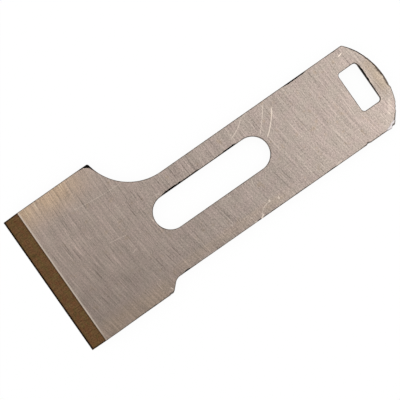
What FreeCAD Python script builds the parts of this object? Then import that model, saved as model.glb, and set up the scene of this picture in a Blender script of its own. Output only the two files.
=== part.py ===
import FreeCAD, Part
import math
import os
import Sketcher

# Plane iron for a duplex rebate plane.
# One flat steel blank with a wide head, a narrower offset shank, a clamp slot,
# an adjuster slot near the crowned top end, and one ground bevel.
# X runs across the iron, towards the side with the small notch, from the head's centre line.
# Y runs along it, from the cutting edge to the top end.
# Z points out of the bevelled face, and the flat back lies on Z = 0.

# Sizes in millimetres and degrees. Lengths start at the cutting edge unless said otherwise.
SIZES = {
    "overall_length": 96.9,           # cutting edge to the crown of the top end
    "head_width": 38.0,               # the cutting edge
    "thickness": 2.4,
    "bevel_angle": 30.0,              # between the bevel and the flat back
    "edge_land_height": 0.05,         # flat that wear has left on the cutting edge
    "shank_width": 23.6,
    "notch_step": 2.6,                # from the head's side in to the shank's side, at the notch
    "notch_side_length": 24.7,        # the head's straight side below the notch
    "notch_angle": 45.0,              # between the notch's shoulder and the head's side
    "notch_fillet_radius": 2.6,
    "notch_corner_radius": 0.4,
    "scoop_radius": 13.7,
    "scoop_centre_distance": 38.7,
    "scoop_corner_radius": 0.55,
    "crown_radius": 17.5,             # the arc of the top end
    "crown_corner_radius": 0.8,
    "clamp_slot_width": 8.7,
    "clamp_slot_length": 33.0,        # over its two round ends
    "clamp_slot_distance": 30.75,     # its round end next to the cutting edge
    "clamp_slot_offset": 2.4,         # from the shank's centre line towards the scoop
    "adjuster_slot_width": 11.2,      # across the iron
    "adjuster_slot_height": 5.4,      # along the iron
    "adjuster_slot_drop": 6.6,        # from the crown to the slot's centre
    "adjuster_slot_offset": 0.9,      # from the shank's centre line towards the scoop
    "adjuster_corner_radius": 0.85,
    "edge_roll_radius": 0.22,         # rolled edges round the bevelled face and its slots
}

SHANK_CENTRE = "(Sizes.head_width / 2 - Sizes.notch_step - Sizes.shank_width / 2)"

# How a sketch numbers the points of an element, its axes and its origin.
START, END, CENTRE = range(1, 4)
X_AXIS, Y_AXIS = range(-1, -3, -1)
ORIGIN = (X_AXIS, START)

SAME_PLACE = 0.001


def add_size_sheet(doc):
    """Put every size into a sheet, one row each, under its own alias."""
    sheet = doc.addObject("Spreadsheet::Sheet", "Sizes")
    for row, (name, value) in enumerate(SIZES.items(), start=1):
        sheet.set(f"A{row}", name)
        sheet.set(f"B{row}", str(value))
        sheet.setAlias(f"B{row}", name)
    doc.recompute()


def add_sketch(body, name, role):
    """An empty sketch on the body's own origin plane with this role."""
    sketch = body.newObject("Sketcher::SketchObject", name)
    plane = next(feature for feature in body.Origin.OriginFeatures if feature.Role == role)
    sketch.AttachmentSupport = [(plane, "")]
    sketch.MapMode = "FlatFace"
    return sketch


def relate(sketch, kind, *places):
    """Add a constraint that has no size."""
    sketch.addConstraint(Sketcher.Constraint(kind, *places))


def dimension(sketch, kind, places, formula):
    """Add a dimension that follows a formula of the sheet's sizes."""
    value = float(sketch.evalExpression(formula))
    if kind == "Angle":
        value = math.radians(value)
    index = sketch.addConstraint(Sketcher.Constraint(kind, *places, value))
    sketch.setExpression(f"Constraints[{index}]", formula)


def point(x, y):
    """A point in the plane of a sketch."""
    return FreeCAD.Vector(x, y, 0)


def add_line(sketch, start, end):
    """A straight element from start to end."""
    return sketch.addGeometry(Part.LineSegment(start, end))


def add_arc(sketch, centre, start, end):
    """An arc that runs counter-clockwise about centre from start to end."""
    circle = Part.Circle(centre, FreeCAD.Vector(0, 0, 1), centre.distanceToPoint(start))
    first, last = (math.atan2(place.y - centre.y, place.x - centre.x) for place in (start, end))
    return sketch.addGeometry(Part.ArcOfCircle(circle, first, last))


def draw_outline(body, size):
    """The blank's outline, with the corners that are rounded later."""
    sketch = add_sketch(body, "Outline", "XY_Plane")
    head_side = size["head_width"] / 2
    notch_side = head_side - size["notch_step"]
    scoop_side = notch_side - size["shank_width"]
    notch_rise = size["notch_step"] / math.tan(math.radians(size["notch_angle"]))
    notch_root = point(notch_side, size["notch_side_length"] + notch_rise)
    crown_centre = point(notch_side - size["shank_width"] / 2,
                         size["overall_length"] - size["crown_radius"])
    crown_rise = math.sqrt(size["crown_radius"] ** 2 - (size["shank_width"] / 2) ** 2)
    crown_end = crown_centre.y + crown_rise
    scoop_centre = point(scoop_side - size["scoop_radius"], size["scoop_centre_distance"])
    scoop_drop = math.sqrt(size["scoop_radius"] ** 2 - (-head_side - scoop_centre.x) ** 2)
    scoop_corner = point(-head_side, scoop_centre.y - scoop_drop)

    edge = add_line(sketch, point(-head_side, 0), point(head_side, 0))
    head_notch_side = add_line(sketch, point(head_side, 0), point(head_side, size["notch_side_length"]))
    shoulder = add_line(sketch, point(head_side, size["notch_side_length"]), notch_root)
    shank_notch_side = add_line(sketch, notch_root, point(notch_side, crown_end))
    crown = add_arc(sketch, crown_centre, point(notch_side, crown_end), point(scoop_side, crown_end))
    shank_scoop_side = add_line(sketch, point(scoop_side, crown_end), point(scoop_side, scoop_centre.y))
    scoop = add_arc(sketch, scoop_centre, scoop_corner, point(scoop_side, scoop_centre.y))
    head_scoop_side = add_line(sketch, scoop_corner, point(-head_side, 0))

    relate(sketch, "Coincident", edge, END, head_notch_side, START)
    relate(sketch, "Coincident", head_notch_side, END, shoulder, START)
    relate(sketch, "Coincident", shoulder, END, shank_notch_side, START)
    relate(sketch, "Coincident", shank_notch_side, END, crown, START)
    relate(sketch, "Coincident", crown, END, shank_scoop_side, START)
    relate(sketch, "Tangent", shank_scoop_side, END, scoop, END)
    relate(sketch, "Coincident", scoop, START, head_scoop_side, START)
    relate(sketch, "Coincident", head_scoop_side, END, edge, START)
    for side in (head_notch_side, shank_notch_side, shank_scoop_side, head_scoop_side):
        relate(sketch, "Vertical", side)
    relate(sketch, "Symmetric", edge, START, edge, END, Y_AXIS)
    relate(sketch, "PointOnObject", edge, START, X_AXIS)
    relate(sketch, "Horizontal", crown, START, crown, END)

    dimension(sketch, "DistanceX", (edge, START, edge, END), "Sizes.head_width")
    dimension(sketch, "DistanceY", (head_notch_side, START, head_notch_side, END),
              "Sizes.notch_side_length")
    dimension(sketch, "Angle", (shoulder,), "90 + Sizes.notch_angle")
    dimension(sketch, "DistanceX", (shoulder, END, shoulder, START), "Sizes.notch_step")
    dimension(sketch, "DistanceX", (crown, END, crown, START), "Sizes.shank_width")
    dimension(sketch, "Radius", (crown,), "Sizes.crown_radius")
    dimension(sketch, "DistanceY", (*ORIGIN, crown, CENTRE),
              "Sizes.overall_length - Sizes.crown_radius")
    dimension(sketch, "Radius", (scoop,), "Sizes.scoop_radius")
    dimension(sketch, "DistanceY", (*ORIGIN, scoop, CENTRE), "Sizes.scoop_centre_distance")
    corners = {
        "notch_root": [(shoulder, END)],
        "notch_corner": [(shoulder, START)],
        "scoop_corner": [(scoop, START)],
        "crown_corners": [(crown, START), (crown, END)],
    }
    return sketch, corners


def draw_clamp_slot(body, size):
    """The long slot with two round ends, which the clamping screw passes through."""
    sketch = add_sketch(body, "ClampSlotProfile", "XY_Plane")
    radius = size["clamp_slot_width"] / 2
    middle = float(sketch.evalExpression(SHANK_CENTRE)) - size["clamp_slot_offset"]
    low = size["clamp_slot_distance"] + radius
    high = low + size["clamp_slot_length"] - size["clamp_slot_width"]
    notch_low, notch_high = point(middle + radius, low), point(middle + radius, high)
    scoop_low, scoop_high = point(middle - radius, low), point(middle - radius, high)

    notch_wall = add_line(sketch, notch_low, notch_high)
    high_end = add_arc(sketch, point(middle, high), notch_high, scoop_high)
    scoop_wall = add_line(sketch, scoop_high, scoop_low)
    low_end = add_arc(sketch, point(middle, low), scoop_low, notch_low)

    relate(sketch, "Tangent", notch_wall, END, high_end, START)
    relate(sketch, "Tangent", high_end, END, scoop_wall, START)
    relate(sketch, "Tangent", scoop_wall, END, low_end, START)
    relate(sketch, "Tangent", low_end, END, notch_wall, START)
    relate(sketch, "Vertical", notch_wall)

    dimension(sketch, "Radius", (low_end,), "Sizes.clamp_slot_width / 2")
    dimension(sketch, "Radius", (high_end,), "Sizes.clamp_slot_width / 2")
    dimension(sketch, "DistanceX", (*ORIGIN, low_end, CENTRE),
              f"{SHANK_CENTRE} - Sizes.clamp_slot_offset")
    dimension(sketch, "DistanceY", (*ORIGIN, low_end, CENTRE),
              "Sizes.clamp_slot_distance + Sizes.clamp_slot_width / 2")
    dimension(sketch, "DistanceY", (low_end, CENTRE, high_end, CENTRE),
              "Sizes.clamp_slot_length - Sizes.clamp_slot_width")
    return sketch


def draw_adjuster_slot(body, size):
    """The short slot near the top end, which the depth adjuster's tongue fills."""
    sketch = add_sketch(body, "AdjusterSlotProfile", "XY_Plane")
    middle = float(sketch.evalExpression(SHANK_CENTRE)) - size["adjuster_slot_offset"]
    left = middle - size["adjuster_slot_width"] / 2
    right = left + size["adjuster_slot_width"]
    low = size["overall_length"] - size["adjuster_slot_drop"] - size["adjuster_slot_height"] / 2
    high = low + size["adjuster_slot_height"]
    turns = [point(left, low), point(right, low), point(right, high), point(left, high)]
    walls = [add_line(sketch, start, end) for start, end in zip(turns, turns[1:] + turns[:1])]
    low_wall, notch_wall, high_wall, scoop_wall = walls

    for wall, next_wall in zip(walls, walls[1:] + walls[:1]):
        relate(sketch, "Coincident", wall, END, next_wall, START)
    for wall in (low_wall, high_wall):
        relate(sketch, "Horizontal", wall)
    for wall in (notch_wall, scoop_wall):
        relate(sketch, "Vertical", wall)

    dimension(sketch, "DistanceX", (low_wall, START, low_wall, END), "Sizes.adjuster_slot_width")
    dimension(sketch, "DistanceY", (notch_wall, START, notch_wall, END), "Sizes.adjuster_slot_height")
    dimension(sketch, "DistanceX", (*ORIGIN, low_wall, START),
              f"{SHANK_CENTRE} - Sizes.adjuster_slot_offset - Sizes.adjuster_slot_width / 2")
    dimension(sketch, "DistanceY", (*ORIGIN, low_wall, START),
              "Sizes.overall_length - Sizes.adjuster_slot_drop - Sizes.adjuster_slot_height / 2")
    return sketch, [(wall, START) for wall in walls]


def draw_bevel(body, size):
    """The waste in front of the bevel, seen from the side. It stands a thickness clear."""
    sketch = add_sketch(body, "BevelProfile", "YZ_Plane")
    rise = 2 * size["thickness"] - size["edge_land_height"]
    run = rise / math.tan(math.radians(size["bevel_angle"]))
    toe = point(0, size["edge_land_height"])
    heel = point(run, toe.y + rise)
    far_high = point(-size["thickness"], heel.y)
    far_low = point(-size["thickness"], toe.y)

    slope = add_line(sketch, toe, heel)
    lid = add_line(sketch, heel, far_high)
    front = add_line(sketch, far_high, far_low)
    floor = add_line(sketch, far_low, toe)

    relate(sketch, "Coincident", slope, END, lid, START)
    relate(sketch, "Coincident", lid, END, front, START)
    relate(sketch, "Coincident", front, END, floor, START)
    relate(sketch, "Coincident", floor, END, slope, START)
    relate(sketch, "Horizontal", lid)
    relate(sketch, "Vertical", front)
    relate(sketch, "Horizontal", floor)
    relate(sketch, "PointOnObject", slope, START, Y_AXIS)

    dimension(sketch, "DistanceY", (*ORIGIN, slope, START), "Sizes.edge_land_height")
    dimension(sketch, "Angle", (slope,), "Sizes.bevel_angle")
    dimension(sketch, "DistanceY", (slope, START, slope, END),
              "2 * Sizes.thickness - Sizes.edge_land_height")
    dimension(sketch, "DistanceX", (floor, START, floor, END), "Sizes.thickness")
    return sketch


def upright_edges(shape, places):
    """Names of the edges that stand upright on these points of the plan."""
    names = []
    for number, edge in enumerate(shape.Edges, start=1):
        ends = [point(vertex.X, vertex.Y) for vertex in edge.Vertexes]
        if any(all(end.distanceToPoint(place) < SAME_PLACE for end in ends) for place in places):
            names.append(f"Edge{number}")
    return names


def rim_edges(shape, height):
    """Names of the edges that lie at this height, round a face and its slots."""
    names = []
    for number, edge in enumerate(shape.Edges, start=1):
        box = edge.BoundBox
        if abs(box.ZMin - height) < SAME_PLACE and abs(box.ZMax - height) < SAME_PLACE:
            names.append(f"Edge{number}")
    return names


def add_round(body, name, edge_names, size_name):
    """Round these edges of the body's newest feature."""
    rounding = body.newObject("PartDesign::Fillet", name)
    rounding.Base = (rounding.BaseFeature, edge_names)
    rounding.setExpression("Radius", f"Sizes.{size_name}")
    body.Document.recompute()


def add_corner_round(body, name, sketch, corners, size_name):
    """Round the upright edges that stand on these corners of a sketch."""
    places = [sketch.getPoint(element, end) for element, end in corners]
    add_round(body, name, upright_edges(body.Tip.Shape, places), size_name)


def add_cut(body, name, profile, upwards):
    """Cut a profile through the whole blank, upwards from the back or both ways from the middle."""
    cut = body.newObject("PartDesign::Pocket", name)
    cut.Profile = profile
    cut.Type = "ThroughAll"
    cut.Reversed = upwards
    cut.Midplane = not upwards
    body.Document.recompute()
    if cut.Shape.Volume >= cut.BaseFeature.Shape.Volume:
        raise RuntimeError(f"{name} cuts nothing")


def build_iron(doc, size):
    """The whole iron as one body, with the middle of its length at the origin."""
    body = doc.addObject("PartDesign::Body", "PlaneIron")
    body.Label = "plane_iron"
    body.setExpression("Placement.Base.y", "-Sizes.overall_length / 2")

    outline, corners = draw_outline(body, size)
    blank = body.newObject("PartDesign::Pad", "Blank")
    blank.Profile = outline
    blank.setExpression("Length", "Sizes.thickness")
    doc.recompute()
    add_corner_round(body, "NotchFillet", outline, corners["notch_root"], "notch_fillet_radius")
    add_corner_round(body, "NotchCornerRound", outline, corners["notch_corner"], "notch_corner_radius")
    add_corner_round(body, "ScoopCornerRound", outline, corners["scoop_corner"], "scoop_corner_radius")
    add_corner_round(body, "CrownCornerRounds", outline, corners["crown_corners"],
                     "crown_corner_radius")

    add_cut(body, "ClampSlot", draw_clamp_slot(body, size), upwards=True)
    adjuster, adjuster_corners = draw_adjuster_slot(body, size)
    add_cut(body, "AdjusterSlot", adjuster, upwards=True)
    add_corner_round(body, "AdjusterCornerRounds", adjuster, adjuster_corners, "adjuster_corner_radius")

    add_round(body, "EdgeRoll", rim_edges(body.Tip.Shape, size["thickness"]), "edge_roll_radius")
    add_cut(body, "Bevel", draw_bevel(body, size), upwards=False)
    return body


def check(doc, body):
    """Stop if a feature failed or the iron isn't one sound solid."""
    for feature in doc.Objects:
        if "Invalid" in feature.State or "Error" in feature.State:
            raise RuntimeError(f"{feature.Name} failed")
    if body.Shape.isNull() or not body.Shape.isValid() or len(body.Shape.Solids) != 1:
        raise RuntimeError("the iron isn't one sound solid")


def main():
    """Build the iron, check it and write its STEP file."""
    doc = FreeCAD.newDocument("PlaneIron")
    add_size_sheet(doc)
    iron = build_iron(doc, SIZES)
    check(doc, iron)
    os.makedirs("parts", exist_ok=True)
    iron.Shape.exportStep(f"parts/{iron.Label}.step")
    print(f"{iron.Label}: {iron.Shape.Volume:.1f} mm3, box {iron.Shape.BoundBox}")


main()
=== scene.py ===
import math

import bpy
import numpy as np
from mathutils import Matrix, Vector
from mathutils.geometry import delaunay_2d_cdt


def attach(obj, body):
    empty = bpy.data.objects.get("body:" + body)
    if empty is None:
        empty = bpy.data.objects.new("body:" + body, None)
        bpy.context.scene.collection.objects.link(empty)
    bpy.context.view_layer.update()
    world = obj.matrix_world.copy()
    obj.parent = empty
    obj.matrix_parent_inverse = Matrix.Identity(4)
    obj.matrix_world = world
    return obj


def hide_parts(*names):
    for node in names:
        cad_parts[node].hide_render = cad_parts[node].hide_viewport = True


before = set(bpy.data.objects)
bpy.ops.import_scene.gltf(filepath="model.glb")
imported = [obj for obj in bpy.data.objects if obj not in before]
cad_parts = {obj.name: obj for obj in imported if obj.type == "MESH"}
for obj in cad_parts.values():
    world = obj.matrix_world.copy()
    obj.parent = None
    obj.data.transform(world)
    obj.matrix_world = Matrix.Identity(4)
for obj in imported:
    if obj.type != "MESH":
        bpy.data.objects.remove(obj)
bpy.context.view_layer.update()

# Plane iron for a rebate plane, with its finish and its wear.
# Lengths in this file are millimetres until the mesh is made. X runs across the iron towards
# the notch, Y runs along it from the cutting edge, and Z is the height over the flat back.
MM = 0.001

# The iron's sizes.
OVERALL_LENGTH = 96.9
HEAD_WIDTH = 38.0
THICKNESS = 2.4
BEVEL_ANGLE = 29.0
EDGE_LAND_HEIGHT = 0.05
SHANK_WIDTH = 23.55
NOTCH_STEP = 2.65
NOTCH_SIDE_LENGTH = 24.4
NOTCH_ANGLE = 45.0
NOTCH_FILLET_RADIUS = 2.6
NOTCH_CORNER_RADIUS = 0.4
SCOOP_RADIUS = 13.7
SCOOP_CENTRE_DISTANCE = 38.7
SCOOP_CORNER_RADIUS = 0.55
CROWN_RADIUS = 17.5
CROWN_CORNER_RADIUS = 0.8
CLAMP_SLOT_WIDTH = 8.7
CLAMP_SLOT_LENGTH = 33.1
CLAMP_SLOT_DISTANCE = 30.75
CLAMP_SLOT_OFFSET = 2.4
ADJUSTER_SLOT_WIDTH = 11.2
ADJUSTER_SLOT_HEIGHT = 5.4
ADJUSTER_SLOT_DROP = 6.7
ADJUSTER_SLOT_OFFSET = 0.9
ADJUSTER_CORNER_RADIUS = 0.85
TOE_CORNER_RADIUS = 0.12          # the two ends of the cutting edge

HEAD_SIDE = HEAD_WIDTH / 2
NOTCH_SIDE = HEAD_SIDE - NOTCH_STEP
SCOOP_SIDE = NOTCH_SIDE - SHANK_WIDTH
SHANK_CENTRE = NOTCH_SIDE - SHANK_WIDTH / 2
CLAMP_SLOT_CENTRE = SHANK_CENTRE - CLAMP_SLOT_OFFSET
CLAMP_SLOT_SIDE = CLAMP_SLOT_CENTRE - CLAMP_SLOT_WIDTH / 2
ADJUSTER_SLOT_TOP = OVERALL_LENGTH - ADJUSTER_SLOT_DROP + ADJUSTER_SLOT_HEIGHT / 2
BEVEL_SLOPE = math.tan(math.radians(BEVEL_ANGLE))
CREST = (THICKNESS - EDGE_LAND_HEIGHT) / BEVEL_SLOPE

# How finely the mesh follows the form.
RIM_PITCH = 0.3
RIM_TURN = math.radians(8)
ROLL_STEPS = 5
FACE_PITCH = 1.2
FACE_MARGIN = 0.3                 # how far over the cutting edge's rim the grid starts
BACK_PITCH = 4.0
CREST_PITCH = 0.6
CREST_REACH = 0.3                 # how far the close rows go to either side of the crest
CREST_ROWS = tuple(CREST + step for step in (-CREST_REACH, -0.12, -0.06, 0, 0.06, 0.12, CREST_REACH))
CREST_ROUND = 0.035               # how much the crest is rounded off
BACK_CHAMFER = 0.12
TOE_SHARE = 0.4                   # the chamfer's most, as a share of a low wall
RIM_MARGIN = 0.12                 # flat ring inside each rolled edge and chamfer
TIGHTEST_CORNER = 0.03            # the radius at which a corner is used up
SHARP_TURN = math.radians(28)     # edges that turn more than this stay sharp
STATION_GAP = 0.03                # a rim's points nearer than this to a station's are left out
SAME_PLACE = 1e-6
MERGE_DISTANCE = 1e-7

# Rolled edges, where no stretch wears them more. Their width and depth waver along the rim.
ROLL_WIDTH = 0.16
ROLL_DEPTH = 0.13
ROLL_WAVER = 0.25
WAVER_LENGTH = 2.3
WAVER_SCALES = (0.37, 0.61, 1.0, 1.7)
BEVEL_ROLL = 0.25                 # share of a rolled edge's drop that the bevel takes
CHAMFER_ROLL = 0.2                # how rolled the back's chamfer counts, where a wall is 1
# The walls' scale is this dark partly as painted shade on the walls.
WALL_DARKNESS = 0.3


def arc(x, y, radius, start, end):
    """An arc of the plan, from one angle to another in degrees, clockwise where the angle falls."""
    return {"centre": np.array((x, y)), "radius": radius,
            "start": math.radians(start), "turn": math.radians(end - start)}


def arc_place(part, share):
    """The point a share of the way along an arc, and the unit vector into the steel."""
    angle = part["start"] + share * part["turn"]
    outward = np.array((math.cos(angle), math.sin(angle)))
    return part["centre"] + part["radius"] * outward, -outward * math.copysign(1, part["turn"])


def straight_shares(start, end, stations):
    """Shares along a straight run, evenly spaced, and one at each station's distance along the iron."""
    length = np.linalg.norm(end - start)
    shares = set(np.linspace(0, 1, max(1, math.ceil(length / RIM_PITCH)) + 1)[1:-1])
    rise = end[1] - start[1]
    for station in stations:
        share = (station - start[1]) / rise if abs(rise) > RIM_PITCH else 0
        if 0 < share < 1:
            shares = {other for other in shares if abs(other - share) * length > STATION_GAP}
            shares.add(share)
    return sorted(shares)


def trace(arcs, stations=()):
    """A closed rim through a chain of arcs, with the steel on its left: its points, the unit vectors
    into the steel, the way that the middle of a corner goes inwards, the corner's radius, and the
    length along the rim."""
    samples = []
    for part, next_part in zip(arcs, arcs[1:] + arcs[:1]):
        turn = part["turn"]
        steps = max(2, math.ceil(abs(turn) / RIM_TURN), math.ceil(abs(turn) * part["radius"] / RIM_PITCH))
        middle = arc_place(part, 0.5)[1] / math.cos(turn / 2)
        room = part["radius"] if turn > 0 else math.inf
        samples += [(*arc_place(part, step / steps), middle, room) for step in range(steps + 1)]
        start, end = samples[-1][0], arc_place(next_part, 0)[0]
        if np.linalg.norm(end - start) < SAME_PLACE:
            samples.pop()
            continue
        along = (end - start) / np.linalg.norm(end - start)
        into = np.array((-along[1], along[0]))
        samples += [(start + share * (end - start), into, into, math.inf)
                    for share in straight_shares(start, end, stations)]
    places, inward, middle, room = (np.array(column) for column in zip(*samples))
    steps = np.linalg.norm(np.roll(places, -1, axis=0) - places, axis=1)
    return {"places": places, "inward": inward, "middle": middle, "room": room,
            "along": np.cumsum(steps) - steps, "length": steps.sum()}


def inset_rim(rim, inset):
    """The rim's points moved into the steel. A corner that is used up goes on along its middle."""
    room = rim["room"] - np.minimum(rim["room"], TIGHTEST_CORNER)
    turned = np.where(np.isinf(rim["room"]), inset, np.minimum(inset, np.nan_to_num(room, nan=0.0)))
    return rim["places"] + rim["inward"] * turned[:, None] + rim["middle"] * (inset - turned)[:, None]


def outline_rim():
    """The rim of the whole iron."""
    half_notch = math.tan(math.radians(NOTCH_ANGLE / 2))
    notch_root = NOTCH_SIDE_LENGTH + NOTCH_STEP / math.tan(math.radians(NOTCH_ANGLE))
    crown_y = OVERALL_LENGTH - CROWN_RADIUS
    corner_reach = SHANK_WIDTH / 2 - CROWN_CORNER_RADIUS
    corner_rise = math.sqrt((CROWN_RADIUS - CROWN_CORNER_RADIUS) ** 2 - corner_reach ** 2)
    crown_turn = math.degrees(math.atan2(corner_rise, corner_reach))
    scoop_x = SCOOP_SIDE - SCOOP_RADIUS
    scoop_reach = -HEAD_SIDE + SCOOP_CORNER_RADIUS - scoop_x
    scoop_drop = math.sqrt((SCOOP_RADIUS + SCOOP_CORNER_RADIUS) ** 2 - scoop_reach ** 2)
    scoop_turn = math.degrees(math.atan2(scoop_drop, scoop_reach))
    toe = TOE_CORNER_RADIUS
    return trace([
        arc(-HEAD_SIDE + toe, toe, toe, 180, 270),
        arc(HEAD_SIDE - toe, toe, toe, 270, 360),
        arc(HEAD_SIDE - NOTCH_CORNER_RADIUS, NOTCH_SIDE_LENGTH - NOTCH_CORNER_RADIUS * half_notch,
            NOTCH_CORNER_RADIUS, 0, NOTCH_ANGLE),
        arc(NOTCH_SIDE + NOTCH_FILLET_RADIUS, notch_root + NOTCH_FILLET_RADIUS * half_notch,
            NOTCH_FILLET_RADIUS, 180 + NOTCH_ANGLE, 180),
        arc(SHANK_CENTRE + corner_reach, crown_y + corner_rise, CROWN_CORNER_RADIUS, 0, crown_turn),
        arc(SHANK_CENTRE, crown_y, CROWN_RADIUS, crown_turn, 180 - crown_turn),
        arc(SHANK_CENTRE - corner_reach, crown_y + corner_rise, CROWN_CORNER_RADIUS,
            180 - crown_turn, 180),
        arc(scoop_x, SCOOP_CENTRE_DISTANCE, SCOOP_RADIUS, 0, -scoop_turn),
        arc(-HEAD_SIDE + SCOOP_CORNER_RADIUS, SCOOP_CENTRE_DISTANCE - scoop_drop, SCOOP_CORNER_RADIUS,
            180 - scoop_turn, 180),
    ], CREST_ROWS)


def clamp_slot_rim():
    """The rim of the long slot with two round ends."""
    radius = CLAMP_SLOT_WIDTH / 2
    low = CLAMP_SLOT_DISTANCE + radius
    high = CLAMP_SLOT_DISTANCE + CLAMP_SLOT_LENGTH - radius
    return trace([
        arc(CLAMP_SLOT_CENTRE, high, radius, 180, 0),
        arc(CLAMP_SLOT_CENTRE, low, radius, 0, -180),
    ])


def adjuster_slot_rim():
    """The rim of the short slot near the top end."""
    radius = ADJUSTER_CORNER_RADIUS
    middle = SHANK_CENTRE - ADJUSTER_SLOT_OFFSET
    centre = OVERALL_LENGTH - ADJUSTER_SLOT_DROP
    reach = ADJUSTER_SLOT_WIDTH / 2 - radius
    rise = ADJUSTER_SLOT_HEIGHT / 2 - radius
    return trace([
        arc(middle - reach, centre + rise, radius, 180, 90),
        arc(middle + reach, centre + rise, radius, 90, 0),
        arc(middle + reach, centre - rise, radius, 0, -90),
        arc(middle - reach, centre - rise, radius, -90, -180),
    ])


# Wear and painted shade on the rims. Each stretch runs from one plan point to another along its rim, with
# the steel on its left. It has the width and the depth of the rolled edge there and how dark its scale is,
# up to 1, which is partly painted shade.
OUTLINE_STRETCHES = [
    # from, to, width, depth, darkness
    ((-17.1, 25.6), (-HEAD_SIDE, 22.9), 0.34, 0.30, 1.0),       # scoop corner, which the grinding missed
    ((NOTCH_SIDE, 29.3), (NOTCH_SIDE, 31.0), 0.38, 0.30, 1.0),  # over the notch
    ((HEAD_SIDE, 23.4), (18.4, 25.3), 0.24, 0.20, 0.3),         # notch corner
    ((HEAD_SIDE, 11.5), (HEAD_SIDE, 18.5), 0.20, 0.18, 0.3),
    ((HEAD_SIDE, 18.6), (HEAD_SIDE, 19.4), 0.26, 0.22, 0.8),
    ((NOTCH_SIDE, 50.6), (NOTCH_SIDE, 52.4), 0.22, 0.18, 0.5),  # shank, on the notch's side
    ((NOTCH_SIDE, 53.0), (NOTCH_SIDE, 54.6), 0.22, 0.18, 0.5),
    ((NOTCH_SIDE, 55.4), (NOTCH_SIDE, 57.2), 0.22, 0.18, 0.5),
    ((NOTCH_SIDE, 61.5), (NOTCH_SIDE, 66.5), 0.20, 0.17, 0.3),
    ((NOTCH_SIDE, 71.9), (NOTCH_SIDE, 74.6), 0.24, 0.20, 0.6),
    ((NOTCH_SIDE, 82.0), (NOTCH_SIDE, 89.0), 0.22, 0.18, 0.1),  # below the bruised corner
    ((NOTCH_SIDE, 89.4), (NOTCH_SIDE, 90.9), 0.22, 0.18, 0.6),
    ((7.2, 96.7), (1.5, 96.6), 0.48, 0.34, 0.06),               # crown
    ((1.5, 96.6), (-2.0, 95.6), 0.38, 0.28, 0.10),
    ((-2.0, 95.6), (-6.4, 92.8), 0.26, 0.22, 0.6),
    ((SCOOP_SIDE, 90.4), (SCOOP_SIDE, 89.2), 0.24, 0.20, 0.4),  # shank, on the scoop's side
    ((SCOOP_SIDE, 81.3), (SCOOP_SIDE, 75.3), 0.33, 0.28, 1.0),
]
# The dark scale along this side of the clamp slot is painted shade of the slot's shadowed wall and rim.
CLAMP_SLOT_STRETCHES = [
    ((CLAMP_SLOT_SIDE, 35.8), (CLAMP_SLOT_SIDE, 41.6), 0.42, 0.36, 1.0),
    ((CLAMP_SLOT_SIDE, 41.6), (CLAMP_SLOT_SIDE, 46.6), 0.32, 0.27, 0.75),
    ((CLAMP_SLOT_SIDE, 46.6), (CLAMP_SLOT_SIDE, 51.3), 0.20, 0.17, 0.3),
    ((CLAMP_SLOT_SIDE, 51.3), (CLAMP_SLOT_SIDE, 53.6), 0.22, 0.19, 0.5),
    ((CLAMP_SLOT_SIDE, 53.6), (CLAMP_SLOT_SIDE, 57.3), 0.37, 0.31, 1.0),
]
# The dark scale along the adjuster slot's top is painted shade: a dark line of shadow along the slot.
ADJUSTER_SLOT_STRETCHES = [
    ((-0.7, ADJUSTER_SLOT_TOP), (2.6, ADJUSTER_SLOT_TOP), 0.42, 0.36, 1.0),
    ((1.9, ADJUSTER_SLOT_TOP), (4.0, ADJUSTER_SLOT_TOP), 0.34, 0.29, 1.0),
    ((3.3, ADJUSTER_SLOT_TOP), (7.4, ADJUSTER_SLOT_TOP), 0.21, 0.18, 0.85),
]
STRETCH_FADE = 0.7                # the way over which a stretch starts and ends

# Dents that move the outline in: from, to, and how deep at each end. Below 0 they move it out.
OUTLINE_DENTS = [
    ((HEAD_SIDE, 8.0), (HEAD_SIDE, 23.0), 0.0, 0.18),           # head's side, out of true
    ((HEAD_SIDE, 23.2), (18.6, 24.7), 0.44, 0.20),              # worn tip of the notch
    ((NOTCH_SIDE, 83.95), (NOTCH_SIDE, 84.5), 0.42, 0.30),      # nick in the shank's side
    ((NOTCH_SIDE, 89.9), (NOTCH_SIDE, 91.25), -0.06, -0.13),    # burr pushed out by the bruise
    ((NOTCH_SIDE, 91.5), (15.1, 93.2), 0.64, 0.34),             # bruised corner
    ((15.5, 93.05), (15.0, 93.4), 0.60, 0.56),
    ((15.2, 93.3), (13.6, 94.4), 0.56, 0.28),
    ((13.6, 94.4), (12.7, 94.9), 0.28, 0.28),
    ((12.7, 94.9), (11.95, 95.3), 0.16, 0.16),                  # nick in the crown
    ((11.6, 95.5), (8.2, 96.5), 0.03, 0.08),
    ((7.8, 96.5), (7.1, 96.68), 0.12, 0.34),                    # step in the crown
    ((7.0, 96.75), (-1.0, 95.9), 0.18, 0.11),
    ((-1.0, 95.9), (-3.4, 95.0), 0.12, 0.04),
]
DENT_FADE = 0.22                  # the way over which a dent starts and ends
DENT_REACH = 0.35                 # share of a dent left at the back

# Facets that dip from the face: the point where each starts, the way it dips, its slope, and
# whether it is bare metal. The others keep their scale.
FACETS = [
    ((-18.38, 24.34), 143.0, 0.50, False),                      # scoop corner
    ((15.7, 90.9), 22.0, 0.85, True),                           # bruised corner of the crown
]
FACET_REACH = 2.2                 # how far a facet reaches from its start
FACET_LEAD = 0.12                 # how far a facet's own finish starts before it
FACET_RAMP = 0.12                 # the way over which that finish sets in
FACET_PITCH = 0.16


def along_rim(rim, place):
    """The length along a rim at the point nearest to a place."""
    return rim["along"][np.argmin(np.linalg.norm(rim["places"] - np.array(place), axis=1))]


def ease(value):
    """Smooth step from 0 to 1."""
    value = np.clip(value, 0, 1)
    return value * value * (3 - 2 * value)


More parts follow.
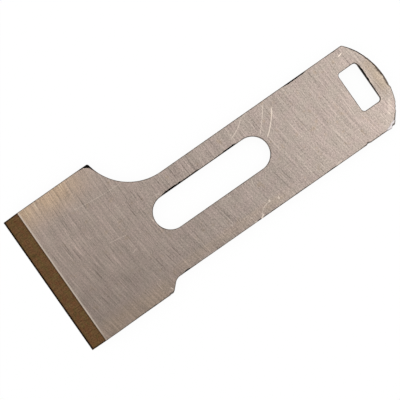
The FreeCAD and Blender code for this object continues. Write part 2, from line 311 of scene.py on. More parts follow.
def stretch_shares(rim, start, end, fade):
    """How far along a stretch each point of the rim is, from 0 to 1, and how much it belongs to it."""
    first, last = along_rim(rim, start), along_rim(rim, end)
    span = (last - first) % rim["length"]
    beyond = (rim["along"] - first) % rim["length"]
    beyond = np.where(beyond > (span + rim["length"]) / 2, beyond - rim["length"], beyond)
    belongs = ease((beyond + fade) / (2 * fade)) * ease((span + fade - beyond) / (2 * fade))
    return np.clip(beyond / span, 0, 1), belongs


def waver(rim, wavelength, seed):
    """A smooth random wave between -1 and 1 along a closed rim."""
    draws = np.random.default_rng(seed)
    turns = rim["along"] / rim["length"]
    waves = [np.sin(2 * math.pi * (round(scale * rim["length"] / wavelength) * turns + draws.random()))
             for scale in WAVER_SCALES]
    return sum(waves) / len(waves)


def rim_rolls(rim, stretches, seed):
    """The width and the depth of the rolled edge at each point of a rim, and how dark its scale and
    painted shade are.
    """
    rolls = np.zeros((len(rim["places"]), 3)) + (ROLL_WIDTH, ROLL_DEPTH, 0)
    plain = rolls.copy()
    for start, end, *worn in stretches:
        belongs = stretch_shares(rim, start, end, STRETCH_FADE)[1][:, None]
        rolls = np.maximum(rolls, plain + (np.array(worn) - plain) * belongs)
    ragged = 1 + ROLL_WAVER * waver(rim, WAVER_LENGTH, seed)
    return rolls[:, 0] * ragged, rolls[:, 1] * ragged, rolls[:, 2]


def rim_dents(rim, dents):
    """How far the rim is knocked in, or pushed out below 0, at each of its points."""
    moved = np.zeros(len(rim["places"]))
    for start, end, first_depth, last_depth in dents:
        share, belongs = stretch_shares(rim, start, end, DENT_FADE)
        shift = belongs * (first_depth + (last_depth - first_depth) * share)
        moved = np.where(np.abs(shift) > np.abs(moved), shift, moved)
    return moved


def facet_beyond(places, start, heading):
    """How far each plan point is beyond the line where one facet starts, near that facet."""
    way = np.array((math.cos(math.radians(heading)), math.sin(math.radians(heading))))
    near = np.linalg.norm(places - np.array(start), axis=1) < FACET_REACH
    return np.where(near, (places - np.array(start)) @ way, -FACET_REACH)


def facet_drop(places):
    """How far the facets go below the face at each plan point."""
    return sum(slope * np.maximum(0, facet_beyond(places, start, heading))
               for start, heading, slope, _ in FACETS)


def facet_share(places, bare):
    """How much each plan point belongs to the bare facets, or to the others."""
    beyond = [facet_beyond(places, start, heading) for start, heading, _, kind in FACETS if kind == bare]
    furthest = max(beyond, key=lambda each: each.max())
    return np.clip((furthest + FACET_LEAD) / FACET_RAMP, 0, 1)


def top_height(places, drop):
    """The height of the bevelled side at each plan point, a drop below the face at a rolled edge."""
    face = THICKNESS - drop - facet_drop(places)
    bevel = EDGE_LAND_HEIGHT + BEVEL_SLOPE * places[:, 1] - BEVEL_ROLL * np.minimum(drop, EDGE_LAND_HEIGHT)
    blend = ease(0.5 + (bevel - face) / (4 * CREST_ROUND))
    return np.minimum(bevel + (face - bevel) * blend - CREST_ROUND * blend * (1 - blend), THICKNESS)


def inside(places, rims):
    """Which plan points are within the first rim and in none of the others."""
    found = np.zeros(len(places), bool)
    for rim in rims:
        crossings = np.zeros(len(places), int)
        for (x0, y0), (x1, y1) in zip(rim, np.roll(rim, -1, axis=0)):
            spans = (y0 > places[:, 1]) != (y1 > places[:, 1])
            if y1 != y0:
                cut = x0 + (places[:, 1] - y0) * (x1 - x0) / (y1 - y0)
                crossings += spans & (places[:, 0] < cut)
        found ^= crossings % 2 == 1
    return found


def rim_distance(places, rims):
    """The distance from each plan point to the nearest point of the rims."""
    rim_points = np.concatenate(rims)
    return np.array([np.linalg.norm(rim_points - place, axis=1).min() for place in places])


def grid(x_range, y_range, pitch):
    """Plan points on a grid with every other row shifted by half a step."""
    rows = []
    for row, y in enumerate(np.arange(*y_range, pitch)):
        x = np.arange(*x_range, pitch) + (row % 2) * pitch / 2
        rows.append(np.column_stack((x, np.full(len(x), y))))
    return np.concatenate(rows)


def face_points(rims):
    """Plan points between the rims: a coarse grid, close rows at the crest, dense spots at the facets."""
    low = rims[0][:, 1].min()
    wide = grid((-HEAD_SIDE, HEAD_SIDE), (low + FACE_MARGIN, OVERALL_LENGTH), FACE_PITCH)
    wide = wide[np.abs(wide[:, 1] - CREST) > CREST_REACH + FACE_PITCH / 3]
    across = np.arange(-HEAD_SIDE + CREST_PITCH, HEAD_SIDE, CREST_PITCH)
    rows = np.concatenate([np.column_stack((across, np.full(len(across), y))) for y in CREST_ROWS])
    spots = []
    for start, *_ in FACETS:
        spot = grid((start[0] - FACET_REACH, start[0] + FACET_REACH),
                    (start[1] - FACET_REACH, start[1] + FACET_REACH), FACET_PITCH)
        spots.append(spot[np.linalg.norm(spot - np.array(start), axis=1) < FACET_REACH])
        wide = wide[np.linalg.norm(wide - np.array(start), axis=1) > FACET_REACH + FACET_PITCH]
    wide = wide[rim_distance(wide, rims) > FACE_PITCH / 3]
    fine = np.concatenate([rows] + spots)
    fine = fine[rim_distance(fine, rims) > FACET_PITCH / 2]
    points = np.concatenate([wide, fine])
    return points[inside(points, rims)]


def back_points(rims):
    """Plan points of the back, on a coarse grid."""
    points = grid((-HEAD_SIDE, HEAD_SIDE), (0, OVERALL_LENGTH), BACK_PITCH)
    points = points[rim_distance(points, rims) > BACK_PITCH / 3]
    return points[inside(points, rims)]


class Builder:
    """Gathers the vertices of one mesh, their marks and the faces."""

    def __init__(self):
        self.vertices, self.faces, self.count = [], [], 0
        self.marks = {"rolled": [], "dark_scale_and_shade": [], "bare": []}

    def add_points(self, places, heights, rolled=-1.0, dark_scale_and_shade=0.0):
        """Add vertices, with how far each is down a rolled edge, from -1 off it to 1, and how dark
        its scale and painted shade are. The facets are marked by where they are."""
        numbers = np.arange(self.count, self.count + len(places))
        self.count += len(places)
        self.vertices.append(np.column_stack((places, heights)))
        scaled, bare = (facet_share(places, kind) * (heights > THICKNESS / 2) for kind in (False, True))
        self.marks["rolled"].append(np.maximum(rolled, 2 * scaled - 1))
        self.marks["dark_scale_and_shade"].append(np.maximum(dark_scale_and_shade, scaled))
        self.marks["bare"].append(bare)
        return numbers

    def add_next_ring(self, numbers, places, heights, rolled, dark_scale_and_shade):
        """Add a closed ring and the quads between it and the one before."""
        found = self.add_points(places, heights, np.broadcast_to(rolled, len(places)),
                                np.broadcast_to(dark_scale_and_shade, len(places)))
        self.faces += zip(numbers, found, np.roll(found, -1), np.roll(numbers, -1))
        return found

    def add_sheet(self, rims, rim_numbers, points, numbers, upwards):
        """Triangles that fill the space between the rims and join the points in it."""
        places = np.concatenate([*rims, points])
        owners = np.concatenate([*rim_numbers, numbers])
        edges, start = [], 0
        for rim in rims:
            edges += [(start + i, start + (i + 1) % len(rim)) for i in range(len(rim))]
            start += len(rim)
        found = delaunay_2d_cdt([Vector(place) for place in places], edges, [], 0, MERGE_DISTANCE)
        triangles = np.array(found[2])
        centres = np.array([tuple(place) for place in found[0]])[triangles].mean(axis=1)
        sources = np.array([source[0] for source in found[3]])
        kept = owners[sources[triangles[inside(centres, rims)]]]
        self.faces += [tuple(triangle) if upwards else tuple(triangle[::-1]) for triangle in kept]

    def make(self, name):
        """The mesh as an object, in metres, with the middle of its length at the origin."""
        vertices = np.concatenate(self.vertices) - np.array((0, OVERALL_LENGTH / 2, 0))
        mesh = bpy.data.meshes.new(name)
        faces = [[int(number) for number in face] for face in self.faces]
        mesh.from_pydata((vertices * MM).tolist(), [], faces)
        for mark, groups in self.marks.items():
            values = [np.broadcast_to(value, len(part)) for value, part in zip(groups, self.vertices)]
            values = np.concatenate(values).astype(np.float32)
            mesh.attributes.new(mark, "FLOAT", "POINT").data.foreach_set("value", values)
        mesh.shade_smooth()
        mesh.set_sharp_from_angle(angle=SHARP_TURN)
        made = bpy.data.objects.new(name, mesh)
        bpy.context.scene.collection.objects.link(made)
        return made


def add_rim(build, rim, width, depth, dark_scale_and_shade, dent):
    """The rolled edge, wall and back's chamfer of one rim. Returns its rings on the face and the back."""
    places = inset_rim(rim, dent + width + RIM_MARGIN)
    numbers = build.add_points(places, top_height(places, 0), dark_scale_and_shade=dark_scale_and_shade)
    first = places, numbers
    for step in range(ROLL_STEPS, -1, -1):
        angle = math.pi / 2 * step / ROLL_STEPS
        places = inset_rim(rim, dent + width * (1 - math.cos(angle)))
        heights = top_height(places, depth * (1 - math.sin(angle)))
        numbers = build.add_next_ring(numbers, places, heights, math.cos(angle), dark_scale_and_shade)
    chamfer = np.minimum(BACK_CHAMFER, TOE_SHARE * heights)
    flat = np.zeros(len(chamfer))
    for height, inset, reach, rolled in (
            (0.5 * (heights + chamfer), 0, 0.5 * (1 + DENT_REACH), 1.0),
            (chamfer, 0, DENT_REACH, 1.0),
            (flat, chamfer, DENT_REACH, CHAMFER_ROLL),
            (flat, chamfer + RIM_MARGIN, DENT_REACH, -1.0)):
        places = inset_rim(rim, inset + reach * dent)
        numbers = build.add_next_ring(numbers, places, height, rolled, WALL_DARKNESS)
    return first, (places, numbers)


def build_iron():
    """The iron's mesh, closed, in metres, with how far each vertex is rolled, scaled or bare."""
    build = Builder()
    wear = [
        (outline_rim(), OUTLINE_STRETCHES, OUTLINE_DENTS),
        (clamp_slot_rim(), CLAMP_SLOT_STRETCHES, []),
        (adjuster_slot_rim(), ADJUSTER_SLOT_STRETCHES, []),
    ]
    rings = [add_rim(build, rim, *rim_rolls(rim, stretches, seed), rim_dents(rim, dents))
             for seed, (rim, stretches, dents) in enumerate(wear)]
    top_rings, back_rings = zip(*rings)
    rims, numbers = zip(*top_rings)
    points = face_points(rims)
    build.add_sheet(rims, numbers, points, build.add_points(points, top_height(points, 0)), True)
    rims, numbers = zip(*back_rings)
    points = back_points(rims)
    build.add_sheet(rims, numbers, points, build.add_points(points, np.zeros(len(points))), False)
    return build.make("iron")


# The photograph's frame. Plan lengths are millimetres from the middle of the iron.
CAMERA_AXIS = (3.96, -5.84)       # the point of the plan in the middle of the frame
CAMERA_TURN = 55.03               # degrees
CAMERA_DISTANCE = 600.0           # over the bevelled face
FRAME_WIDTH = 97.47               # what the frame takes in at that face
SENSOR_WIDTH = 36.0


def tone(red, green, blue):
    """A colour as it is written for a screen, from 0 to 255, as the shaders take it."""
    shares = [level / 255 for level in (red, green, blue)]
    linear = [share / 12.92 if share <= 0.04045 else ((share + 0.055) / 1.055) ** 2.4 for share in shares]
    return (*linear, 1.0)


class Graph:
    """Adds nodes to one tree and links them."""

    def __init__(self, tree):
        self.tree = tree
        tree.nodes.clear()

    def add(self, kind, inputs, output=0, **settings):
        """Add a node, fill its sockets by number or name, and return one of its outputs."""
        node = self.tree.nodes.new(kind)
        for name, value in settings.items():
            setattr(node, name, value)
        for name, value in inputs.items():
            if isinstance(value, bpy.types.NodeSocket):
                self.tree.links.new(value, node.inputs[name])
            else:
                node.inputs[name].default_value = value
        return node.outputs[output] if node.outputs else None

    def maths(self, operation, *values):
        """One step of arithmetic."""
        return self.add("ShaderNodeMath", dict(enumerate(values)), operation=operation)

    def times(self, first, *others):
        """The product of the values."""
        for value in others:
            first = self.maths("MULTIPLY", first, value)
        return first

    def total(self, first, *terms):
        """A first value plus a share of each of the others, given as pairs."""
        for value, share in terms:
            first = self.add("ShaderNodeMath", {0: value, 1: share, 2: first}, operation="MULTIPLY_ADD")
        return first

    def blend(self, first, values, shares):
        """A first value plus a share of each of the others, given by name."""
        return self.total(first, *((values[name], share) for name, share in shares.items()))

    def noise(self, x, y, seed, detail=1.0):
        """Smooth noise over two coordinates."""
        place = self.add("ShaderNodeCombineXYZ", {0: x, 1: y, 2: seed})
        return self.add("ShaderNodeTexNoise", {"Vector": place, "Scale": 1.0, "Detail": detail})

    def streaks(self, along, across, length, width, seed, detail=1.0):
        """Noise drawn out along one coordinate."""
        along, across = self.maths("DIVIDE", along, length), self.maths("DIVIDE", across, width)
        return self.noise(along, across, seed, detail)

    def span(self, value, low, high, first=0.0, last=1.0):
        """A smooth step from one value to another."""
        return self.add("ShaderNodeMapRange", {0: value, 1: low, 2: high, 3: first, 4: last},
                        interpolation_type="SMOOTHSTEP")

    def mix(self, share, first, second, blend_type="MIX"):
        """A mix of two colours."""
        return self.add("ShaderNodeMix", {0: share, 6: first, 7: second}, output=2,
                        data_type="RGBA", blend_type=blend_type)


def plan_coordinates(graph):
    """X, the distance from the cutting edge and the height over the flat back, in millimetres."""
    place = graph.add("ShaderNodeTexCoord", {}, output="Object")
    split = graph.add("ShaderNodeSeparateXYZ", {0: place}, output=0).node
    x = graph.maths("DIVIDE", split.outputs[0], MM)
    y = graph.total(OVERALL_LENGTH / 2, (split.outputs[1], 1 / MM))
    return x, y, graph.maths("DIVIDE", split.outputs[2], MM)


MARK_SIDES = (0.3, 1.0, 1.0, 0.0)   # how a mark fades over its half width
MARK_ENDS = (0.8, 1.0, 1.0, 0.0)    # and over its half length


def mark_group():
    """A node group that masks one bowed mark on the plan."""
    tree = bpy.data.node_groups.new("mark", "ShaderNodeTree")
    for name in ("X", "Y", "Centre X", "Centre Y", "Way X", "Way Y", "Half length", "Bow", "Half width"):
        tree.interface.new_socket(name, in_out="INPUT", socket_type="NodeSocketFloat")
    tree.interface.new_socket("Mask", in_out="OUTPUT", socket_type="NodeSocketFloat")
    graph = Graph(tree)
    given = graph.add("NodeGroupInput", {}).node.outputs
    x = graph.maths("SUBTRACT", given["X"], given["Centre X"])
    y = graph.maths("SUBTRACT", given["Y"], given["Centre Y"])
    along = graph.maths("ADD", graph.times(x, given["Way X"]), graph.times(y, given["Way Y"]))
    across = graph.maths("SUBTRACT", graph.times(y, given["Way X"]), graph.times(x, given["Way Y"]))
    share = graph.maths("ABSOLUTE", graph.maths("DIVIDE", along, given["Half length"]))
    bow = graph.times(given["Bow"], graph.maths("SUBTRACT", 1.0, graph.times(share, share)))
    off = graph.maths("ABSOLUTE", graph.maths("SUBTRACT", across, bow))
    near = graph.span(graph.maths("DIVIDE", off, given["Half width"]), *MARK_SIDES)
    graph.add("NodeGroupOutput", {"Mask": graph.times(near, graph.span(share, *MARK_ENDS))})
    return tree


# Marks on the bevelled face, two of them painted highlights: from, to, how far each bows to its left, its
# width and its strength.
MARKS = [
    ((0.85, 64.75), (-4.75, 69.90), -0.40, 0.36, 0.80),
    ((-0.60, 63.64), (-6.50, 68.60), -0.12, 0.38, 0.45),
    ((-4.00, 57.35), (-6.66, 62.05), -0.40, 0.32, 0.55),
    ((-6.60, 62.20), (-7.00, 64.20), 0.0, 0.28, 0.35),
    ((-11.78, 15.50), (-10.55, 29.90), -0.34, 0.28, 0.42),
    ((-0.13, 18.37), (0.67, 22.95), 0.0, 0.28, 0.40),
    ((15.70, 53.00), (13.99, 56.20), 0.48, 0.30, 0.50),
    ((-5.34, 90.26), (-5.61, 91.31), 0.0, 0.36, 0.90),
    ((16.25, 52.5), (15.75, 53.2), 0.0, 0.50, 1.00),
    ((13.7, 56.4), (13.9, 56.4), 0.0, 0.50, 1.00),
    ((14.4, 58.7), (14.6, 58.7), 0.0, 0.50, 1.00),
    ((5.16, 21.78), (4.79, 23.09), 0.0, 0.26, 0.45),
    ((14.20, 23.40), (14.30, 23.60), 0.0, 0.30, 0.45),
    ((14.40, 22.45), (17.60, 22.60), 0.0, 0.28, 0.45),
    ((17.50, 24.60), (17.95, 24.80), 0.0, 0.36, 0.80),
    ((1.20, 30.25), (1.70, 30.40), 0.0, 0.30, 0.70),
    ((-3.30, 34.60), (-3.00, 35.20), 0.0, 0.40, 0.50),
    ((7.20, 55.70), (8.90, 55.30), 0.0, 0.28, 0.40),
    ((7.20, 48.50), (7.50, 49.40), 0.0, 0.30, 0.45),
    ((16.10, 50.50), (16.15, 51.00), 0.0, 0.36, 0.90),
    ((14.70, 50.20), (14.90, 50.60), 0.0, 0.34, 0.50),
    ((15.98, 75.00), (15.98, 76.30), 0.0, 0.60, 0.30),
    ((13.30, 45.40), (13.60, 45.60), 0.0, 0.34, 0.60),
    # painted highlight on the crown's rolled edge
    ((10.05, 94.50), (12.95, 92.40), 0.25, 1.30, 0.22),
    ((2.40, 85.30), (11.40, 85.40), 0.0, 0.20, 0.35),
    ((3.00, 84.85), (8.00, 84.85), 0.0, 0.20, 0.25),
    ((10.00, 89.10), (14.70, 89.00), 0.0, 0.20, 0.25),
    # painted highlight along the rolled edge over the adjuster slot
    ((-0.20, 93.40), (4.60, 93.40), 0.0, 0.42, 0.22),
]


def marks(graph, x, y):
    """The strongest mark at each point, between 0 and 1."""
    tree = mark_group()
    found = None
    for start, end, bow, width, strength in MARKS:
        start, end = np.array(start), np.array(end)
        centre, way = (start + end) / 2, (end - start) / np.linalg.norm(end - start)
        reach = (np.linalg.norm(end - start) + width) / 2
        mask = graph.add("ShaderNodeGroup", {
            "X": x, "Y": y, "Centre X": centre[0], "Centre Y": centre[1],
            "Way X": way[0], "Way Y": way[1], "Half length": reach, "Bow": bow, "Half width": width / 2,
        }, node_tree=tree)
        mask = graph.times(mask, strength)
        found = mask if found is None else graph.maths("MAXIMUM", found, mask)
    return found


# The finish. A noise is given by its length and its width in millimetres, its seed and, where it is
# more than 1, its detail. A step is given by where it starts and ends and by the values there, which
# are 0 and 1 where nothing else is said.
RELIEF_STRENGTH = 0.25
RELIEF_DEPTH = 0.01               # millimetres


def new_material(name):
    """A material and its empty graph."""
    material = bpy.data.materials.new(name)
    material.use_nodes = True
    return material, Graph(material.node_tree)


def add_metal(graph, colour, roughness, height):
    """The shader of a metal surface with fine relief."""
    normal = graph.add("ShaderNodeBump", {
        "Strength": RELIEF_STRENGTH, "Distance": RELIEF_DEPTH * MM, "Height": height})
    shader = graph.add("ShaderNodeBsdfPrincipled", {
        "Base Color": colour, "Roughness": roughness, "Metallic": 1.0, "Normal": normal})
    graph.add("ShaderNodeOutputMaterial", {"Surface": shader})


# Grinding lines run across the iron at a slope, and bend by so much for each millimetre.
LINE_SLOPE = 0.098
LINE_BOW = 0.0036
WIDE_LINES = (14.0, 0.60, 1.0)
FINE_LINES = (7.0, 0.24, 5.0)
DEEP_LINES = (8.0, 0.30, 9.0)
DEEP_STEP = (0.62, 0.74)
BRIGHT_LINES = (8.0, 0.20, 14.0)
BRIGHT_STEP = (0.63, 0.76)
BLOTCHES = (3.0, 3.0, 20.0, 3.0)
GRAIN = (0.38, 0.30, 25.0)
GRAIN_ALONG = (15.0, 45.0, 0.80, 1.15)    # how strong the grain is along the iron


def steel_lines(graph, x, y):
    """The grinding lines and the grain of the ground faces, by name."""
    swept = graph.total(y, (x, -LINE_SLOPE), (graph.times(x, x), -LINE_BOW))
    grain = graph.maths("SUBTRACT", graph.streaks(x, y, *GRAIN), 0.5)
    return {
        "wide": graph.streaks(x, swept, *WIDE_LINES),
        "fine": graph.streaks(x, swept, *FINE_LINES),
        "deep": graph.span(graph.streaks(x, swept, *DEEP_LINES), *DEEP_STEP),
        "bright": graph.span(graph.streaks(x, swept, *BRIGHT_LINES), *BRIGHT_STEP),
        "blotch": graph.streaks(x, y, *BLOTCHES),
        "grain": graph.times(grain, graph.span(y, *GRAIN_ALONG)),
    }


LEVEL_BASE = 0.315
LEVEL_SHARES = {"wide": 0.42, "fine": 0.70, "grain": 1.0, "blotch": 0.20, "deep": -0.34, "bright": 0.40}
PAINTED_LIGHT_LEAN_LOW = -0.0130                # painted light and shade: how the level changes with X at the edge, for each millimetre
PAINTED_LIGHT_LEAN_HIGH = 0.0085                # and at the top end
WAIST_DIM = 0.045                 # the slotted length is a little darker
WAIST_START = (22.0, 46.0)
WAIST_END = (86.0, 93.0, 1.0, 0.0)


def steel_level(graph, x, y, lines):
    """How light the ground faces are at each point, with painted light and shade across the iron."""
    level = graph.blend(LEVEL_BASE, lines, LEVEL_SHARES)
    # Painted light and shade: the faces are lighter towards one side and darker towards the other.
    painted_light_lean = graph.total(PAINTED_LIGHT_LEAN_LOW, (y, (PAINTED_LIGHT_LEAN_HIGH - PAINTED_LIGHT_LEAN_LOW) / OVERALL_LENGTH))
    painted_light_lean = graph.total(1.0, (graph.times(x, painted_light_lean), 1.0))
    waist = graph.times(graph.span(y, *WAIST_START), graph.span(y, *WAIST_END))
    return graph.times(level, painted_light_lean, graph.total(1.0, (waist, -WAIST_DIM)))


SCOOP_WARM_ALONG = (14.0, 28.0, 1.0, 0.0)
SCOOP_WARM_ACROSS = (-18.5, -10.5, 1.0, 0.0)
HEAD_WARM_ALONG = (22.0, 29.0, 1.0, 0.0)
HEAD_WARM_ACROSS = (13.0, 17.2, 0.0, 0.41)
SHANK_WARM_X = 14.7
SHANK_WARM_REACH = (0.4, 1.8, 0.22, 0.0)
SHANK_WARM_START = (25.0, 31.0)
SHANK_WARM_END = (56.0, 66.0, 1.0, 0.0)


def steel_warmth(graph, x, y):
    """How warm the steel is by the scoop, at the head's other side and along the shank."""
    scoop = graph.times(graph.span(y, *SCOOP_WARM_ALONG), graph.span(x, *SCOOP_WARM_ACROSS))
    head = graph.times(graph.span(y, *HEAD_WARM_ALONG), graph.span(x, *HEAD_WARM_ACROSS))
    away = graph.maths("ABSOLUTE", graph.maths("SUBTRACT", x, SHANK_WARM_X))
    along = graph.times(graph.span(y, *SHANK_WARM_START), graph.span(y, *SHANK_WARM_END))
    shank = graph.times(graph.span(away, *SHANK_WARM_REACH), along)
    return graph.total(scoop, (head, 1.0), (shank, 1.0))


# The steel has two tints near the edge and two above the clamp slot, in patches, with uneven warm
# areas, a tan one at the crown, and stains.
LOW_PINK = tone(194, 175, 164)
LOW_GREEN = tone(192, 175, 163)
HIGH_PINK = tone(193, 176, 167)
HIGH_GREEN = tone(191, 177, 166)
CLIMB = (5.0, 65.0)
TINT_PATCHES = (3.2, 3.2, 30.0, 2.0)
TINT_STEP = (0.35, 0.65)
STEEL_WARM = tone(212, 185, 158)
WARM_PATCHES = (3.5, 3.5, 40.0, 2.0)
WARM_STEP = (0.3, 0.6, 0.65, 1.0)
STEEL_TAN = tone(181, 165, 148)
TAN_X = 3.5
TAN_REACH = (2.6, 6.0, 1.0, 0.0)
TAN_ALONG = (92.6, 94.8)
STEEL_STAIN = tone(188, 169, 152)
STAINS = (2.0, 2.0, 70.0, 2.0)
STAIN_STEP = (0.60, 0.72, 0.0, 0.75)


def steel_tint(graph, x, y, on_face):
    """The colour of the ground faces under their lines."""
    climb = graph.span(y, *CLIMB)
    pink, green = graph.mix(climb, LOW_PINK, HIGH_PINK), graph.mix(climb, LOW_GREEN, HIGH_GREEN)
    colour = graph.mix(graph.span(graph.streaks(x, y, *TINT_PATCHES), *TINT_STEP), pink, green)
    uneven = graph.times(graph.span(graph.streaks(x, y, *WARM_PATCHES), *WARM_STEP), on_face)
    colour = graph.mix(graph.times(steel_warmth(graph, x, y), uneven), colour, STEEL_WARM)
    away = graph.maths("ABSOLUTE", graph.maths("SUBTRACT", x, TAN_X))
    tan = graph.times(graph.span(away, *TAN_REACH), graph.span(y, *TAN_ALONG), uneven)
    colour = graph.mix(tan, colour, STEEL_TAN)
    stain = graph.span(graph.streaks(x, y, *STAINS), *STAIN_STEP)
    return graph.mix(graph.times(stain, on_face), colour, STEEL_STAIN)


SCALE_EDGE = (0.8, 0.8, 50.0, 3.0)
SCALE_EDGE_SHARE = 0.8
SCALE_STEP = (0.25, 0.50)
# The darkest scale colour, which is also painted shade along the rims and the slots' walls.
SCALE_AND_SHADE_DARK = tone(14, 12, 10)
SCALE_BROWN = tone(92, 80, 70)
SCALE_PALE = tone(128, 116, 106)
SCALE_PATCHES = (1.7, 1.7)
SCALE_SEED = 60.0
SCALE_SEED_RISE = 1.2             # for each millimetre of height
SCALE_DETAIL = 3.0
SCALE_PATCH_STEP = (0.35, 0.65)


def scale_share(graph, x, y, rolled, marked):
    """Where scale covers the steel: on the rolled edges and walls, with a ragged border; on the edges it
    is partly painted shade.
    """
    ragged = graph.total(rolled, (graph.streaks(x, y, *SCALE_EDGE), SCALE_EDGE_SHARE))
    return graph.times(graph.span(ragged, *SCALE_STEP), graph.maths("SUBTRACT", 1.0, marked))


def scale_tint(graph, x, y, z, dark_scale_and_shade):
    """The colour of the scale, brown and paler in patches, and dark at its darkest stretches, which are
    partly painted shade.
    """
    seed = graph.total(SCALE_SEED, (z, SCALE_SEED_RISE))
    patches = graph.streaks(x, y, *SCALE_PATCHES, seed, SCALE_DETAIL)
    colour = graph.mix(graph.span(patches, *SCALE_PATCH_STEP), SCALE_BROWN, SCALE_PALE)
    return graph.mix(dark_scale_and_shade, colour, SCALE_AND_SHADE_DARK)


FACE_HEIGHTS = (THICKNESS - 0.6, THICKNESS - 0.3)
STEEL_PALE = tone(248, 232, 216)  # the marks, and the painted highlight along the crest
CREST_HIGHLIGHT_ALONG = (CREST + 0.20, CREST + 0.50, 0.8, 0.0)
CREST_HIGHLIGHT_ACROSS = (14.0, 18.0, 1.0, 0.4)
MARK_STEP = (0.3, 0.55, 0.5, 1.0)
BARE_STEEL = tone(232, 224, 224)
BARE_STEP = (0.35, 0.60, 1.0, 0.0)
STEEL_ROUGHNESS = 0.26
STEEL_ROUGHNESS_SHARES = {"fine": 0.10, "blotch": 0.06}
SCALE_ROUGHNESS = 0.30            # what scale adds
MARK_ROUGHNESS = -0.06            # what a mark or bare steel adds
STEEL_RELIEF = {"wide": 0.8, "fine": 0.5, "deep": -0.8}


def steel_material():
    """Steel with ground faces, and dark scale where the grinding didn't reach; with painted shade, light
    and highlights.
    """
    material, graph = new_material("ground_steel")
    x, y, z = plan_coordinates(graph)
    rolled, dark_scale_and_shade, bare = (graph.add("ShaderNodeAttribute", {}, output="Fac", attribute_name=name)
                           for name in ("rolled", "dark_scale_and_shade", "bare"))
    on_face = graph.span(z, *FACE_HEIGHTS)
    lines = steel_lines(graph, x, y)
    level = steel_level(graph, x, y, lines)
    colour = graph.mix(1.0, steel_tint(graph, x, y, on_face), level, "MULTIPLY")

    # Painted highlight: a pale line along the face at the crest.
    crest = graph.times(graph.span(y, *CREST_HIGHLIGHT_ALONG), graph.span(x, *CREST_HIGHLIGHT_ACROSS), on_face)
    marked = graph.times(marks(graph, x, y), graph.span(lines["fine"], *MARK_STEP), on_face)
    colour = graph.mix(graph.maths("MAXIMUM", crest, marked), colour, STEEL_PALE)
    bare = graph.times(bare, graph.span(rolled, *BARE_STEP))
    colour = graph.mix(bare, colour, BARE_STEEL)

    marked = graph.maths("MAXIMUM", marked, bare)
    scale = scale_share(graph, x, y, rolled, marked)
    colour = graph.mix(scale, colour, scale_tint(graph, x, y, z, dark_scale_and_shade))
    roughness = graph.blend(STEEL_ROUGHNESS, lines, STEEL_ROUGHNESS_SHARES)
    roughness = graph.total(roughness, (scale, SCALE_ROUGHNESS), (marked, MARK_ROUGHNESS))
    add_metal(graph, colour, roughness, graph.blend(0.0, lines, STEEL_RELIEF))
    return material


BEVEL_FINE = (3.0, 0.22, 2.0)
BEVEL_WIDE = (6.0, 0.6, 7.0)
BEVEL_GRAIN = (0.30, 0.30, 28.0)
BEVEL_BLOTCHES = (1.4, 1.2, 12.0, 2.0)
# The bevel's dark browns are a painted reflection of dark brown surroundings.
BEVEL_REFLECTION_BROWN = tone(110, 82, 54)
BEVEL_REFLECTION_RED = tone(113, 79, 52)
BEVEL_BROWN_STEP = (0.38, 0.58)
BEVEL_REFLECTION_GREEN = tone(105, 83, 51)
BEVEL_PATCHES = (1.5, 1.3, 18.0, 2.0)
BEVEL_GREEN_STEP = (0.45, 0.65)
BEVEL_LEVEL = -0.59
BEVEL_LEVEL_SHARES = {"fine": 0.90, "wide": 0.35, "grain": 1.60, "blotch": 0.30}
BEVEL_PAINTED_SHADE = tone(34, 24, 14)     # painted shade along the bevel's four sides
BEVEL_EDGE = (0.3, 0.6, 1.0, 0.0)
BEVEL_CREST = (CREST - 0.45, CREST - 0.2, 0.0, 0.4)
BEVEL_SIDES = (HEAD_SIDE - 0.45, HEAD_SIDE - 0.2, 0.0, 0.8)
BEVEL_ROUGHNESS = 0.30
BEVEL_ROUGHNESS_SHARES = {"fine": 0.14, "blotch": 0.06}
BEVEL_RELIEF = {"fine": 0.7, "wide": 0.4}


def bevel_material():
    """The ground bevel, its dark brown a painted reflection of dark brown surroundings, with fine lines
    that run from the crest to the edge.
    """
    material, graph = new_material("ground_bevel_painted_reflection")
    x, y, _ = plan_coordinates(graph)
    lines = {
        "fine": graph.streaks(y, x, *BEVEL_FINE),
        "wide": graph.streaks(y, x, *BEVEL_WIDE),
        "grain": graph.streaks(x, y, *BEVEL_GRAIN),
        "blotch": graph.streaks(x, y, *BEVEL_BLOTCHES),
    }
    colour = graph.mix(graph.span(lines["blotch"], *BEVEL_BROWN_STEP), BEVEL_REFLECTION_RED, BEVEL_REFLECTION_BROWN)
    patches = graph.streaks(x, y, *BEVEL_PATCHES)
    colour = graph.mix(graph.span(patches, *BEVEL_GREEN_STEP), colour, BEVEL_REFLECTION_GREEN)
    colour = graph.mix(1.0, colour, graph.blend(BEVEL_LEVEL, lines, BEVEL_LEVEL_SHARES), "MULTIPLY")
    # Painted shade: dark lines along the cutting edge, the crest and the sides of the bevel.
    dark = graph.maths("MAXIMUM", graph.span(y, *BEVEL_EDGE), graph.span(y, *BEVEL_CREST))
    dark = graph.maths("MAXIMUM", dark, graph.span(graph.maths("ABSOLUTE", x), *BEVEL_SIDES))
    colour = graph.mix(dark, colour, BEVEL_PAINTED_SHADE)
    roughness = graph.blend(BEVEL_ROUGHNESS, lines, BEVEL_ROUGHNESS_SHARES)
    add_metal(graph, colour, roughness, graph.blend(0.0, lines, BEVEL_RELIEF))
    return material


WALL_RISE = 0.05                  # a face's normal rises less than this on a wall


def dress(iron):
    """Give the iron its finish, with the bevel's own on the bevel."""
    for material in (steel_material(), bevel_material()):
        iron.data.materials.append(material)
    crest = (CREST - OVERALL_LENGTH / 2) * MM
    for face in iron.data.polygons:
        if face.center.y < crest and face.normal.z > WALL_RISE:
            face.material_index = 1


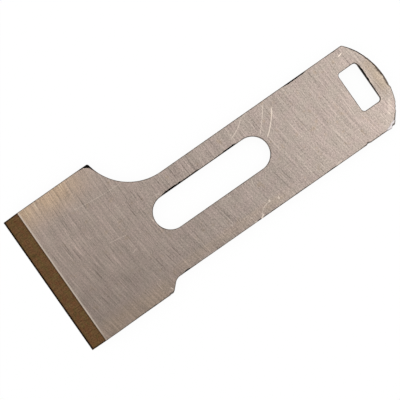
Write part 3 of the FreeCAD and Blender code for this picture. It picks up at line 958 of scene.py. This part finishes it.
def seen_share(graph):
    """1 for rays that show the background: from the camera, or through gloss or glass."""
    rays = graph.add("ShaderNodeLightPath", {}).node.outputs
    seen = graph.maths("MAXIMUM", rays["Is Camera Ray"], rays["Is Glossy Ray"])
    return graph.maths("MAXIMUM", seen, rays["Is Transmission Ray"])


FLOOR_SIZE = 6.0                  # metres
FLOOR_DROP = 0.02                 # millimetres between the flat back and the floor
FLOOR_WHITE = (0.92, 0.92, 0.92, 1.0)
FLOOR_SHOWN = 0.94                # share of the floor's white that doesn't take the shadow
WORLD_LEVEL = 1.0                 # the even light on the floor
WORLD_OVERHEAD = 0.50             # what the steel mirrors from overhead
OVERHEAD_RISE = (0.35, 0.8)       # the rise over which the world dims towards overhead
LIGHT_WAY = (-0.17, 0.98)         # the way to the lamp on the plan
LIGHT_ELEVATION = 62.0            # degrees
LIGHT_DISTANCE = 0.30             # metres
LIGHT_SIZE = 0.28                 # metres
LIGHT_POWER = 0.168               # watts


def build_floor():
    """A white floor that keeps the iron's soft shadow and is see-through from beneath."""
    half = FLOOR_SIZE / 2
    mesh = bpy.data.meshes.new("floor")
    low = -FLOOR_DROP * MM
    corners = [(-half, -half, low), (half, -half, low), (half, half, low), (-half, half, low)]
    mesh.from_pydata(corners, [], [(0, 1, 2, 3)])
    floor = bpy.data.objects.new("floor", mesh)
    bpy.context.scene.collection.objects.link(floor)
    material, graph = new_material("white_floor")
    plain = graph.add("ShaderNodeBsdfDiffuse", {"Color": FLOOR_WHITE})
    white = graph.add("ShaderNodeEmission", {"Strength": 1.0})
    share = graph.times(seen_share(graph), FLOOR_SHOWN)
    shader = graph.add("ShaderNodeMixShader", {0: share, 1: plain, 2: white})
    beneath = graph.add("ShaderNodeNewGeometry", {}, output="Backfacing")
    clear = graph.add("ShaderNodeBsdfTransparent", {})
    shader = graph.add("ShaderNodeMixShader", {0: beneath, 1: shader, 2: clear})
    graph.add("ShaderNodeOutputMaterial", {"Surface": shader})
    mesh.materials.append(material)


def build_world():
    """White all round, dimmer overhead where the steel mirrors it, and an even light on the floor."""
    world = bpy.data.worlds.new("studio")
    bpy.context.scene.world = world
    world.use_nodes = True
    graph = Graph(world.node_tree)
    way = graph.add("ShaderNodeTexCoord", {}, output="Generated")
    rise = graph.add("ShaderNodeSeparateXYZ", {0: way}, output=2)
    shown = graph.span(rise, *OVERHEAD_RISE, 1.0, WORLD_OVERHEAD)
    shown = graph.maths("MAXIMUM", shown, graph.add("ShaderNodeLightPath", {}, output="Is Camera Ray"))
    strength = graph.add("ShaderNodeMix", {0: seen_share(graph), 2: WORLD_LEVEL, 3: shown})
    light = graph.add("ShaderNodeBackground", {"Color": (1, 1, 1, 1), "Strength": strength})
    graph.add("ShaderNodeOutputWorld", {"Surface": light})


def build_light():
    """One broad soft lamp, high beyond the top end."""
    lamp = bpy.data.lights.new("softbox", "AREA")
    lamp.shape = "DISK"
    lamp.size = LIGHT_SIZE
    lamp.energy = LIGHT_POWER
    light = bpy.data.objects.new("softbox", lamp)
    bpy.context.scene.collection.objects.link(light)
    rise = math.radians(LIGHT_ELEVATION)
    way = Vector((*(part * math.cos(rise) for part in LIGHT_WAY), math.sin(rise))).normalized()
    light.location = way * LIGHT_DISTANCE
    light.rotation_euler = way.to_track_quat("Z", "Y").to_euler()


def build_camera():
    """A camera straight above the iron, turned as in the photograph."""
    data = bpy.data.cameras.new("camera")
    data.sensor_width = SENSOR_WIDTH
    data.lens = SENSOR_WIDTH * CAMERA_DISTANCE / FRAME_WIDTH
    camera = bpy.data.objects.new("camera", data)
    bpy.context.scene.collection.objects.link(camera)
    camera.location = (CAMERA_AXIS[0] * MM, CAMERA_AXIS[1] * MM, (THICKNESS + CAMERA_DISTANCE) * MM)
    camera.rotation_euler = (0, 0, math.radians(CAMERA_TURN))
    bpy.context.scene.camera = camera


iron = build_iron()
dress(iron)
build_floor()
build_world()
build_light()
build_camera()
bpy.context.scene.view_settings.view_transform = "Standard"
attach(iron, "root")
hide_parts("plane_iron")
